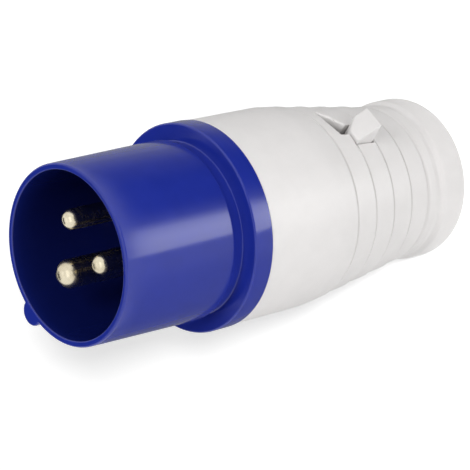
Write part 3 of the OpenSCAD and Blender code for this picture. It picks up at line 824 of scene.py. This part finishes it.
@dataclass
class ContactPin(Piece):
    """Turned pin with rounded tip, collar and drilled terminal barrel."""

    slot: ClassVar[str] = "pin_metal"
    node: str
    azimuth: float
    radius: float
    barrel_radius: float
    tip: float = 112.8
    dome: float = 0.8
    neck_front: float = 78.9
    neck_step: float = 0.4
    pin_circle: float = 8.0
    floor_back: float = 73.45
    collar_back: float = 72.1
    collar_step: float = 0.7
    barrel_back: float = 59.1
    barrel_wall: float = 1.5
    wire_depth: float = 9.5
    screw_height: float = 63.6
    screw_hole: float = 1.75

    @property
    def centre(self) -> Point:
        """The pin's place on its circle."""
        place = polar(self.pin_circle, self.azimuth, 0.0)
        return place.x, place.y

    def profile(self) -> list[Point]:
        """Lists the turned profile, from the tip down.

        Returns:
            Its points, with the corners rounded.
        """
        wire = self.barrel_radius - self.barrel_wall
        rest = self.barrel_back + self.wire_depth
        neck = self.radius + self.neck_step
        collar = self.barrel_radius + self.collar_step
        corners = [
            (self.radius, self.neck_front + 0.3),
            (self.radius, self.neck_front, 0.1),
            (neck, self.neck_front, 0.12),
            (neck, self.floor_back),
            (collar, self.floor_back, 0.15),
            (collar, self.collar_back, 0.15),
            (self.barrel_radius, self.collar_back),
            (self.barrel_radius, self.barrel_back, 0.3),
            (wire, self.barrel_back, 0.3),
            (wire, rest),
            (0.0, rest + wire * 0.5),
        ]
        return self.domed_tip() + rounded(corners, closed=False)

    def domed_tip(self, steps: int = 20) -> list[Point]:
        """Points of the tip's dome, from its top to the pin's side.

        Args:
            steps: Number of steps along the dome.

        Returns:
            The points as radius and height.
        """
        rise = self.radius * self.dome
        ball = (self.radius**2 + rise**2) / (2 * rise)
        spread = math.asin(self.radius / ball)
        turns = [spread * step / steps for step in range(steps + 1)]
        return [(ball * math.sin(turn), self.tip - ball * (1 - math.cos(turn))) for turn in turns]

    def shape(self) -> Solid:
        """Builds the solid.

        Returns:
            The pin in its place on the circle.
        """
        piece = Solid.turned(self.node + "_turned", self.profile(), 96)
        middle = Matrix.Translation((self.barrel_radius, 0, self.screw_height))
        across = middle @ Matrix.Rotation(math.pi / 2, 4, "Y")
        piece.cut(Solid.cylinder(self.screw_hole, 2 * self.barrel_radius, across, 48))
        seat = spin(self.azimuth) @ Matrix.Translation((self.pin_circle * MM, 0.0, 0.0))
        piece.object.data.transform(seat)
        return piece


# ----- white body


@dataclass
class BodyShell(Piece):
    """White sleeve between the flange and the grip, with its spigot and bayonet lugs."""

    node: ClassVar[str] = "body_shell"
    front: float = 72.85
    taper_front: float = 50.3
    back: float = 43.85
    front_radius: float = 25.2
    taper_radius: float = 25.0
    seam_radius: float = 24.22
    bore: float = 22.5
    step_height: float = 66.15
    chamber: float = 21.72
    wall_front: float = 46.0
    spigot_radius: float = 18.78
    spigot_bore: float = 16.78
    spigot_back: float = 27.4
    seal_height: float = 28.9
    seal_half: float = 0.85
    lug_height: float = 40.6
    lug_half: float = 1.1
    lug_step: float = 0.9
    lug_root: float = 0.4
    lug_angle: float = 16.0
    seal_depth: float = 1.5
    snap_groove: Point = (67.0, 68.0)
    snap_depth: float = 0.42
    snap_slope: float = 0.1
    notch_depth: float = 3.0
    notch: tuple[float, float, float] = (17.88, 33.8, 36.3)
    notch_half: float = 2.2

    def profile(self) -> list[Point]:
        """Lists the turned profile.

        Returns:
            Its points, with the corners rounded.
        """
        groove = self.spigot_radius - self.seal_depth
        snap = self.bore + self.snap_depth
        low, high = self.snap_groove
        corners = [
            (self.bore, self.front, 0.12),
            (self.front_radius, self.front, 0.2),
            (self.taper_radius, self.taper_front, 12.0),
            (self.seam_radius, self.back, 0.3),
            (self.spigot_radius, self.back, 0.15),
            (self.spigot_radius, self.seal_height + self.seal_half),
            (groove, self.seal_height + self.seal_half),
            (groove, self.seal_height - self.seal_half),
            (self.spigot_radius, self.seal_height - self.seal_half),
            (self.spigot_radius, self.spigot_back, 0.3),
            (self.spigot_bore, self.spigot_back, 0.2),
            (self.spigot_bore, self.wall_front, 0.2),
            (self.chamber, self.wall_front, 0.8),
            (self.chamber, self.step_height),
            (self.bore, self.step_height),
            (self.bore, low),
            (snap, low + self.snap_slope),
            (snap, high - self.snap_slope),
            (self.bore, high),
        ]
        return rounded(corners)

    def lug(self, azimuth: float) -> Solid:
        """One bayonet lug, rooted in the spigot's wall.

        Args:
            azimuth: Where it stands.

        Returns:
            The lug.
        """
        radii = (self.spigot_radius - self.lug_root, self.spigot_radius + self.lug_step)
        turns = (azimuth - self.lug_angle / 2, azimuth + self.lug_angle / 2)
        heights = (self.lug_height - self.lug_half, self.lug_height + self.lug_half)
        return Solid.sector(radii, turns, heights, 8)

    def shape(self) -> Solid:
        """Builds the solid.

        Returns:
            The sleeve with its lugs and the hook's notch.
        """
        piece = Solid.turned("body_sleeve", self.profile(), 224)
        for azimuth in LUG_AZIMUTHS:
            piece.join(self.lug(azimuth))
        depth, low, high = self.notch
        ends = ((depth, -self.notch_half, low), (depth + self.notch_depth, self.notch_half, high))
        piece.cut(Solid.block(*ends, spin(TAB_AZIMUTH)))
        return piece


@dataclass
class GripHousing(Piece):
    """White stepped grip with its socket, tab window, twist recess and threaded neck."""

    node: ClassVar[str] = "grip_housing"
    back: float = 15.2
    pitch: float = 7.15
    rings: int = 4
    back_radius: float = 19.7
    front_radius: float = 24.0
    step: float = 0.45
    groove: float = 0.32
    groove_width: float = 0.85
    neck_back: float = 4.35
    neck_radius: float = 16.2
    neck_bore: float = 13.0
    floor_front: float = 17.6
    cone_radius: float = 17.66
    socket_back: float = 27.05
    socket_radius: float = 18.88
    tab_half: float = 3.05
    side_gap: float = 0.3
    window: tuple[float, float] = (29.77, 36.45)
    recess_front: float = 39.3
    recess_floor: float = 20.0
    recess_reach: float = 6.6
    recess_start: float = 0.2
    recess_heel: float = 1.85
    recess_foot: tuple[Point, ...] = ((0.0, -0.35), (0.3, 0.0))
    recess_flare: tuple[Point, ...] = ((-0.28, 0.0), (-0.1, 0.06), (0.0, 0.16), (0.25, 0.42), (3.0, 3.0))
    trunnion_hole: float = 0.95
    track_height: float = 40.6
    track_half: float = 1.3
    track_radius: float = 19.93
    track_root: float = 0.8
    track_entry: float = 19.0
    track_turn: float = 19.0
    slit: Point = (36.4, 36.9)
    slit_reach: float = 1.6
    slit_floor: float = 20.6
    bearing_span: float = 7.9
    beyond: float = 30.0

    @property
    def front(self) -> float:
        """Height of the grip's front face."""
        return self.back + self.rings * self.pitch

    @property
    def slope(self) -> float:
        """Radius gained over one ring."""
        return (self.front_radius - self.back_radius) / self.rings

    @property
    def skin(self) -> Point:
        """The grip's outside, as its radius at height 0 and its gain for each millimetre."""
        gain = self.slope / self.pitch
        return self.back_radius - self.back * gain, gain

    def surface_radius(self, height: float) -> float:
        """Finds the outer radius of the stepped grip.

        Args:
            height: Where it is wanted.

        Returns:
            The radius there.
        """
        index = min(self.rings - 1, max(0, int((height - self.back) / self.pitch)))
        low = self.back_radius + index * self.slope + self.step / 2
        share = (height - self.back - index * self.pitch) / self.pitch
        return low + (self.slope - self.step) * share

    def profile(self) -> list[Point]:
        """Lists the turned profile.

        Returns:
            Its points, with each ring's edge rounded.
        """
        corners = [
            (self.neck_bore, self.neck_back, 0.3),
            (self.neck_radius, self.neck_back, 0.4),
            (self.neck_radius, self.back, 0.2),
        ]
        for index in range(self.rings):
            low = self.back + index * self.pitch
            low_radius = self.back_radius + index * self.slope + self.step / 2
            if index == 0:
                corners.append((low_radius - self.groove, low, 0.06))
                corners.append((low_radius - self.groove, low + self.groove_width * 0.5))
                corners.append((low_radius, low + self.groove_width * 0.8, 0.06))
            else:
                corners.append((low_radius, low, 0.16))
            high_radius = low_radius + self.slope - self.step
            corners.append((high_radius, low + self.pitch - self.groove_width, 0.06))
            corners.append((high_radius - self.groove, low + self.pitch - self.groove_width * 0.7))
            corners.append((high_radius - self.groove, low + self.pitch))
        corners += [
            (self.socket_radius, self.front, 0.2),
            (self.socket_radius, self.socket_back),
            (self.cone_radius, self.floor_front, 0.6),
            (self.neck_bore, self.floor_front, 0.2),
        ]
        return rounded(corners)

    def recess_outline(self) -> list[Point]:
        """Lists the outline of the twist recess.

        Returns:
            Its corners, each a place sideways and one along the axis.
        """
        side = self.tab_half + self.side_gap
        end = side + self.recess_reach
        return [
            (self.recess_start, self.window[1] - 0.5),
            (side - 0.4, self.window[1] - self.recess_heel),
            (side + self.recess_reach * 0.77, self.recess_front - 0.8),
            (end, self.recess_front - 0.4),
            (end, self.recess_front),
            (self.recess_start, self.recess_front),
        ]

    def recess(self) -> Solid:
        """Makes the tool that cuts the twist recess, flared where it meets the surface.

        Returns:
            The tool.
        """
        outline = self.recess_outline()
        layers = []
        for rise, grow in self.recess_foot:
            layers.append([self._on_radius(y, z, self.recess_floor + rise) for y, z in offset(outline, grow)])
        for rise, grow in self.recess_flare:
            edge = offset(outline, grow)
            layers.append([self._on_radius(y, z, self.surface_radius(z) + rise) for y, z in edge])
        return Solid.layered(layers).turn(TAB_AZIMUTH)

    @staticmethod
    def _on_radius(y: float, z: float, radius: float) -> Vector:
        """A point at a sideways distance and a height on a cylinder of a radius."""
        return Vector((math.sqrt(max(1.0, radius * radius - y * y)), y, z))

    def track(self, azimuth: float) -> Solid:
        """The tool that cuts one bayonet track: the turn and its way in.

        Args:
            azimuth: The middle of the lug that runs in it.

        Returns:
            The tool.
        """
        start, end = azimuth - self.track_entry / 2, azimuth + self.track_entry / 2
        radii = (self.socket_radius - self.track_root, self.track_radius)
        low, high = self.track_height - self.track_half, self.track_height + self.track_half
        whole = Solid.sector(radii, (start, end + self.track_turn), (low, high), 12)
        way_in = (start + self.track_turn, end + self.track_turn)
        return whole.join(Solid.sector(radii, way_in, (low, self.front + 1.0), 12))

    def shape(self) -> Solid:
        """Builds the solid.

        Returns:
            The grip with its recess, window, slit, bearings and tracks.
        """
        piece = Solid.turned("grip_moulding", self.profile(), 256)
        piece.cut(self.recess())
        side = self.tab_half + self.side_gap
        inner = self.socket_radius - 1.0
        window = ((inner, -side, self.window[0]), (self.beyond, side, self.window[1]))
        piece.cut(Solid.block(*window, spin(TAB_AZIMUTH)))
        slit_end = -side - self.slit_reach
        slit = ((self.slit_floor, slit_end, self.slit[0]), (self.beyond, 0.5 - side, self.slit[1]))
        piece.cut(Solid.block(*slit, spin(TAB_AZIMUTH)))
        piece.cut(Solid.pivot(self.trunnion_hole, self.bearing_span).turn(TAB_AZIMUTH))
        for azimuth in LUG_AZIMUTHS:
            piece.cut(self.track(azimuth))
        return piece


def offset(outline: Sequence[Point], distance: float) -> list[Point]:
    """Moves a closed counter-clockwise outline outwards.

    Args:
        outline: The outline's points.
        distance: How far it moves; negative moves it inwards.

    Returns:
        The moved outline, with as many points.
    """
    moved = []
    count = len(outline)
    for index, point in enumerate(outline):
        here = Vector(point)
        into = (here - Vector(outline[index - 1])).normalized()
        away = (Vector(outline[(index + 1) % count]) - here).normalized()
        normal_in, normal_out = Vector((into.y, -into.x)), Vector((away.y, -away.x))
        middle = (normal_in + normal_out).normalized()
        reach = distance / max(0.45, middle.dot(normal_in))
        moved.append((here.x + middle.x * reach, here.y + middle.y * reach))
    return moved


@dataclass
class LockTab(Piece):
    """Wedge-shaped lock tab with its trunnions and hook."""

    node: ClassVar[str] = "lock_tab"
    body: ClassVar[str] = "lock_tab"
    half: float = 3.05
    under: float = 19.43
    back: float = 30.45
    front: float = 36.0
    crest: float = 27.69
    crest_flat: float = 0.35
    nose: float = 23.5
    nose_cut: tuple[Point, ...] = ((3.3, 33.4), (3.3, 36.3), (0.2, 36.3))
    trunnion_radius: float = 0.9
    trunnion_span: float = 7.7
    hook_tip: float = 17.98
    hook_back: float = 34.3
    hook_front: float = 35.4
    hook_half: float = 1.85
    hook_root: float = 0.3
    hook_chamfer: float = 0.4
    edge: float = 0.22
    spare: float = 0.02

    def shape(self) -> Solid:
        """Builds the solid.

        Returns:
            The tab in its place.
        """
        side = [
            (self.under, self.back),
            (self.crest, self.back),
            (self.crest, self.back + self.crest_flat),
            (self.nose, self.front),
            (self.under, self.front),
        ]
        piece = self._plate("lock_wedge", side, self.half)
        reach = (self.under - self.spare, self.crest + 1.0)
        corner = [[Vector((r, y, z)) for y, z in self.nose_cut] for r in reach]
        piece.cut(Solid.layered(corner)).bevel(self.edge)
        root = self.under + self.hook_root
        hook = [
            (self.hook_tip, self.hook_back),
            (root, self.hook_back),
            (root, self.hook_front),
            (self.hook_tip + self.hook_chamfer, self.hook_front),
            (self.hook_tip, self.hook_front - self.hook_chamfer),
        ]
        piece.join(self._plate("hook", hook, self.hook_half))
        piece.join(Solid.pivot(self.trunnion_radius, self.trunnion_span)).turn(TAB_AZIMUTH)
        return piece

    @staticmethod
    def _plate(name: str, side: Sequence[Point], half: float) -> Solid:
        """A plate of a side outline and half a width, centred on the tab's plane."""
        layers = [[Vector((r, y, z)) for r, z in side] for y in (-half, half)]
        return Solid.layered(layers, name)


@dataclass
class GlandNut(Piece):
    """White nut with a lip, a soft waist and a rounded shoulder."""

    node: ClassVar[str] = "gland_nut"
    body: ClassVar[str] = "gland_nut"
    front: float = 15.02
    hole: float = 7.6
    bore: float = 16.5
    floor: float = 2.6
    radius: float = 20.3
    shoulder: float = 6.6
    waist: tuple[Corner, ...] = ((20.3, 9.2, 0.9), (19.28, 10.25, 1.1), (19.72, 12.1, 1.6))
    lip: tuple[Corner, ...] = ((19.6, 14.2, 1.0), (19.1, 15.02, 0.3))

    def profile(self) -> list[Point]:
        """Lists the turned profile.

        Returns:
            Its points, with the corners rounded.
        """
        corners = [
            (self.hole, 0.0, 0.5),
            (self.radius, 0.0, self.shoulder),
            *self.waist,
            *self.lip,
            (self.bore, self.front, 0.3),
            (self.bore, self.floor, 0.4),
            (self.hole, self.floor, 0.2),
        ]
        return rounded(corners, steps=10)

    def shape(self) -> Solid:
        """Builds the solid.

        Returns:
            The nut.
        """
        return Solid.turned("gland_cap", self.profile(), 224)


# ----- inner pieces


@dataclass
class InnerPieces:
    """Inner pieces that keep their CAD shape and get their finishes."""

    looks: dict[str, Material] = field(default_factory=dict)
    groups: dict[str, tuple[str, ...]] = field(
        default_factory=lambda: {
            "carrier": ("contact_carrier", "terminal_cover"),
            "screw": (
                "line_terminal_screw",
                "neutral_terminal_screw",
                "earth_terminal_screw",
                "carrier_screw_1",
                "carrier_screw_2",
                "carrier_screw_3",
            ),
            "rubber": ("flange_seal", "grip_seal", "sealing_grommet"),
            "clamp": ("clamp_cage", "slip_ring"),
        }
    )

    def dress(self) -> None:
        """Gives each inner piece its material."""
        for group, nodes in self.groups.items():
            for name in nodes:
                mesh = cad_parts[name].data
                mesh.materials.clear()
                mesh.materials.append(self.looks[group])
                LOG.info("%s: CAD shape, %s finish", name, group)


# ----- studio


class Reach(Enum):
    """What a light falls on."""

    ALL = "all"
    PLUG = "plug"
    FLOOR = "floor"


def bearing(azimuth: float, elevation: float) -> Vector:
    """The direction of an azimuth from +X and an elevation, in degrees."""
    turn, rise = math.radians(azimuth), math.radians(elevation)
    return Vector((math.cos(turn) * math.cos(rise), math.sin(turn) * math.cos(rise), math.sin(rise)))


@dataclass(frozen=True)
class Softbox:
    """An area light aimed at the plug."""

    name: str
    azimuth: float
    elevation: float
    distance: float
    size: tuple[float, float]
    level: float
    reach: Reach = Reach.ALL

    def build(self, target: Vector, floor: Thing) -> Thing:
        """Builds the light.

        Args:
            target: The point that it is aimed at.
            floor: The floor, which a light can leave out or keep to.

        Returns:
            The light object.
        """
        lamp = bpy.data.lights.new(self.name, "AREA")
        lamp.shape = "RECTANGLE"
        lamp.size, lamp.size_y = self.size
        lamp.energy = self.level * (math.pi * self.distance) ** 2
        holder = bpy.data.objects.new(self.name, lamp)
        away = bearing(self.azimuth, self.elevation)
        holder.location = target + away * self.distance
        holder.rotation_euler = away.to_track_quat("Z", "Y").to_euler()
        holder.visible_glossy = False
        bpy.context.scene.collection.objects.link(holder)
        if self.reach is not Reach.ALL:
            group = bpy.data.collections.new(self.name + "_floor")
            group.objects.link(floor)
            state = "INCLUDE" if self.reach is Reach.FLOOR else "EXCLUDE"
            group.collection_objects[0].light_linking.link_state = state
            holder.light_linking.receiver_collection = group
        return holder


def reflector(name: str, mesh: BMesh) -> tuple[Thing, Graph]:
    """Makes a piece that only reflections see.

    Args:
        name: Its name.
        mesh: Its mesh in millimetres.

    Returns:
        The piece and its material's graph.
    """
    thing = Solid(name, mesh).object
    look, graph = start_material(name)
    thing.data.materials.append(look)
    thing.visible_camera = thing.visible_diffuse = thing.visible_shadow = False
    thing.visible_transmission = thing.visible_volume_scatter = False
    return thing, graph


@dataclass(frozen=True)
class Card:
    """A flat standing card that faces the plug and that only shiny surfaces see."""

    name: str
    level: float
    azimuth: float
    elevation: float
    distance: float
    size: Point

    def build(self) -> Thing:
        """Builds the card.

        Returns:
            The card, hidden from everything but reflections.
        """
        middle = bearing(self.azimuth, self.elevation) * self.distance
        across = bearing(self.azimuth + 90.0, 0.0) * (self.size[0] / 2)
        rise = bearing(self.azimuth, self.elevation + 90.0) * (self.size[1] / 2)
        signs = ((-1, -1), (1, -1), (1, 1), (-1, 1))
        mesh = bmesh.new()
        mesh.faces.new([mesh.verts.new(middle + across * x + rise * y) for x, y in signs])
        card, graph = reflector(self.name, mesh)
        graph.shine(self.level)
        return card


@dataclass(frozen=True)
class ReflectionRing:
    """A ring just above the floor whose brightness changes round the plug, for reflections alone."""

    name: str = "low_ring"
    centre: Point = (5.8, 9.5)
    radii: Point = (25.0, 190.0)
    height: float = 1.5
    strength: float = 5.0
    steps: int = 96
    levels: tuple[Point, ...] = (
        (-180.0, 0.5), (-141.0, 0.35), (-110.0, 0.25), (-79.0, 0.23), (-56.0, 0.25),
        (-25.0, 0.45), (0.0, 0.62), (22.0, 1.0), (36.6, 1.0), (37.2, 4.4),
        (44.0, 4.4), (54.0, 4.9), (64.0, 3.9), (68.0, 2.2), (74.0, 0.6),
        (84.0, 0.15), (92.0, 0.0), (125.0, 0.0), (140.0, 0.12), (154.0, 0.2),
        (170.0, 0.4),
    )

    def build(self) -> Thing:
        """Builds the ring.

        Returns:
            The ring, hidden from everything but reflections.
        """
        mesh = bmesh.new()
        middle = Vector((*self.centre, self.height))
        turns = [360.0 * step / self.steps for step in range(self.steps)]
        inner, outer = (
            [mesh.verts.new(middle + bearing(turn, 0.0) * radius) for turn in turns] for radius in self.radii
        )
        for step in range(self.steps):
            after = (step + 1) % self.steps
            mesh.faces.new((inner[step], outer[step], outer[after], inner[after]))
        ring, graph = reflector(self.name, mesh)
        place = graph.place()
        sideways = graph.axis(place, "X") - self.centre[0]
        forwards = graph.axis(place, "Y") - self.centre[1]
        share = graph.calculate("ARCTAN2", forwards, sideways) * (0.5 / math.pi) + 0.5
        stops = [((azimuth + 180.0) / 360.0, level / self.strength) for azimuth, level in self.levels]
        graph.shine(graph.ramp(share, stops) * self.strength)
        return ring


@dataclass
class Studio:
    """Pale floor, soft lights, white surroundings, reflection cards and the camera."""

    target: tuple[float, float, float] = (0.0, 0.0, 0.06)
    camera_place: tuple[float, float, float] = (0.2895, 0.4699, 0.5350)
    camera_right: tuple[float, float, float] = (0.5260, 0.4203, -0.7394)
    camera_up: tuple[float, float, float] = (-0.7540, 0.6327, -0.1766)
    camera_forward: tuple[float, float, float] = (-0.3936, -0.6504, -0.6497)
    lens: float = 229.8
    horizon: float = 0.85
    zenith: float = 0.16
    floor_colour: float = 0.8
    floor_glow: float = 0.5
    floor_size: float = 4.0
    floor_gap: float = 0.0001
    lights: tuple[Softbox, ...] = (
        Softbox("top_light", 239.0, 60.0, 1.0, (0.5, 0.5), 0.18, Reach.PLUG),
        Softbox("side_light", 96.0, 62.0, 1.0, (0.4, 0.4), 0.48, Reach.PLUG),
        Softbox("low_light", -36.0, 8.0, 1.0, (0.5, 0.3), 0.24),
        Softbox("key_light", 47.0, 5.0, 1.0, (0.9, 0.25), 0.2),
        Softbox("shadow_light", 63.2, 38.6, 2.0, (0.14, 0.14), 0.85, Reach.FLOOR),
    )
    cards: tuple[Card, ...] = (
        Card("pin_card", 1.4, 58.8, 68.0, 600.0, (500.0, 200.0)),
        Card("tip_card", 1.2, 239.0, 78.0, 600.0, (400.0, 130.0)),
        Card("dark_flag", 0.0, 239.0, 39.0, 700.0, (430.0, 270.0)),
        Card("low_flag", 0.05, 58.8, 15.0, 700.0, (700.0, 400.0)),
    )

    def build(self) -> None:
        """Builds the whole studio."""
        self.build_camera()
        self.build_world()
        floor = self.build_floor()
        for light in self.lights:
            light.build(Vector(self.target), floor)
        for card in (*self.cards, ReflectionRing()):
            card.build()

    def build_camera(self) -> None:
        """Places the camera."""
        lens = bpy.data.cameras.new("camera")
        lens.lens = self.lens
        lens.sensor_width = 36.0
        lens.clip_start = 0.01
        holder = bpy.data.objects.new("camera", lens)
        backward = tuple(-value for value in self.camera_forward)
        axes = Matrix((self.camera_right, self.camera_up, backward)).transposed()
        holder.matrix_world = Matrix.Translation(self.camera_place) @ axes.to_4x4()
        bpy.context.scene.collection.objects.link(holder)
        bpy.context.scene.camera = holder

    @staticmethod
    def seen(graph: Graph) -> Flow:
        """Finds out what a ray serves.

        Args:
            graph: The graph that asks.

        Returns:
            1 for a ray from the camera, a reflection or a clear surface, and 0 for others.
        """
        rays = ("Is Camera Ray", "Is Glossy Ray", "Is Transmission Ray")
        camera, glossy, through = (graph.add("ShaderNodeLightPath", output=name) for name in rays)
        return graph.calculate("MAXIMUM", camera + glossy, through)

    def build_world(self) -> None:
        """White surroundings to the eye, and soft light that is stronger near the horizon."""
        world = bpy.data.worlds.new("surroundings")
        world.use_nodes = True
        bpy.context.scene.world = world
        graph = Graph(world.node_tree)
        height = graph.axis(graph.add("ShaderNodeTexCoord", output="Generated"), "Z")
        stops = ((0.0, self.horizon), (0.25, self.horizon * 0.8), (0.55, self.zenith))
        soft = graph.ramp(height, stops)
        seen = self.seen(graph)
        strength = seen + soft * (1.0 - seen)
        glow = graph.add("ShaderNodeBackground", None, {"Color": WHITE, "Strength": strength})
        graph.add("ShaderNodeOutputWorld", None, {"Surface": glow})

    def build_floor(self) -> Thing:
        """Pale floor that shows as white and keeps a soft shadow.

        Returns:
            The floor.
        """
        mesh = bmesh.new()
        bmesh.ops.create_grid(mesh, x_segments=1, y_segments=1, size=self.floor_size / 2 / MM)
        floor = Solid("floor", mesh).object
        floor.location.z = -self.floor_gap
        look, graph = start_material("floor_white")
        grey = (self.floor_colour, self.floor_colour, self.floor_colour, 1.0)
        matt = graph.add("ShaderNodeBsdfDiffuse", None, {"Color": grey})
        reach = graph.length(graph.place()) * MM
        strength = self.seen(graph) * graph.ramp(reach, ((0.25, self.floor_glow), (0.9, 1.0)))
        glow = graph.add("ShaderNodeEmission", None, {"Color": WHITE, "Strength": strength})
        surface = graph.add("ShaderNodeAddShader", None, {0: matt, 1: glow})
        graph.add("ShaderNodeOutputMaterial", None, {"Surface": surface})
        floor.data.materials.append(look)
        return floor


# ----- everything in order


def main() -> None:
    """Builds the finishes, the pieces and the studio."""
    logging.basicConfig(level=logging.INFO, format="%(name)s %(message)s")
    shroud, grip = FrontShroud(), GripHousing()
    blue = MouldedFinish(
        "shroud_blue",
        (0.014, 0.029, 0.31),
        0.15,
        Grain.POLISHED,
        mottle=0.06,
        ripple=0.02,
        handling=0.3,
        # Painted shade: darkens the inside of the shroud's cavity and its pin floor.
        skin=shroud.skin,
        shade=((0.27, 0.0), (0.32, 0.82)),
    )
    white = MouldedFinish(
        "shell_white",
        (0.826, 0.807, 0.799),
        0.42,
        Grain.SATIN,
        mottle=0.02,
        ripple=0.05,
        gloss_level=0.3,
        handling=0.3,
    )
    # Painted shade in the grip's ring grooves, twist recess, window and bore, below its skin.
    grip_look = replace(white, name="grip_white", skin=grip.skin, skin_end=grip.back - 0.05).material()
    white_look = white.material()
    shroud.build(blue.material())
    for pin in (
        ContactPin("line_pin", 30.0, 2.5, 4.0),
        ContactPin("neutral_pin", 150.0, 2.5, 4.0),
        ContactPin("earth_pin", 270.0, 3.5, 4.8),
    ):
        brass = TurnedFinish(pin.node + "_metal", (0.77, 0.7, 0.53), (0.45, 0.36, 0.22), 0.22, pin.centre)
        pin.build(brass.material())
    BodyShell().build(white_look)
    grip.build(grip_look)
    LockTab().build(white_look)
    GlandNut().build(white_look)
    looks = {
        "carrier": MouldedFinish("carrier_grey", (0.06, 0.065, 0.08), 0.5, Grain.ERODED).material(),
        "screw": PlatedFinish("screw_metal", (0.66, 0.66, 0.63), 0.32).material(),
        "rubber": RubberFinish("seal_rubber", (0.02, 0.02, 0.022), (0.06, 0.06, 0.062)).material(),
        "clamp": MouldedFinish("clamp_grey", (0.42, 0.43, 0.45), 0.45, Grain.SATIN).material(),
    }
    InnerPieces(looks).dress()
    Studio().build()
    bpy.context.scene.view_settings.view_transform = "Standard"


if __name__ == "__main__":
    main()
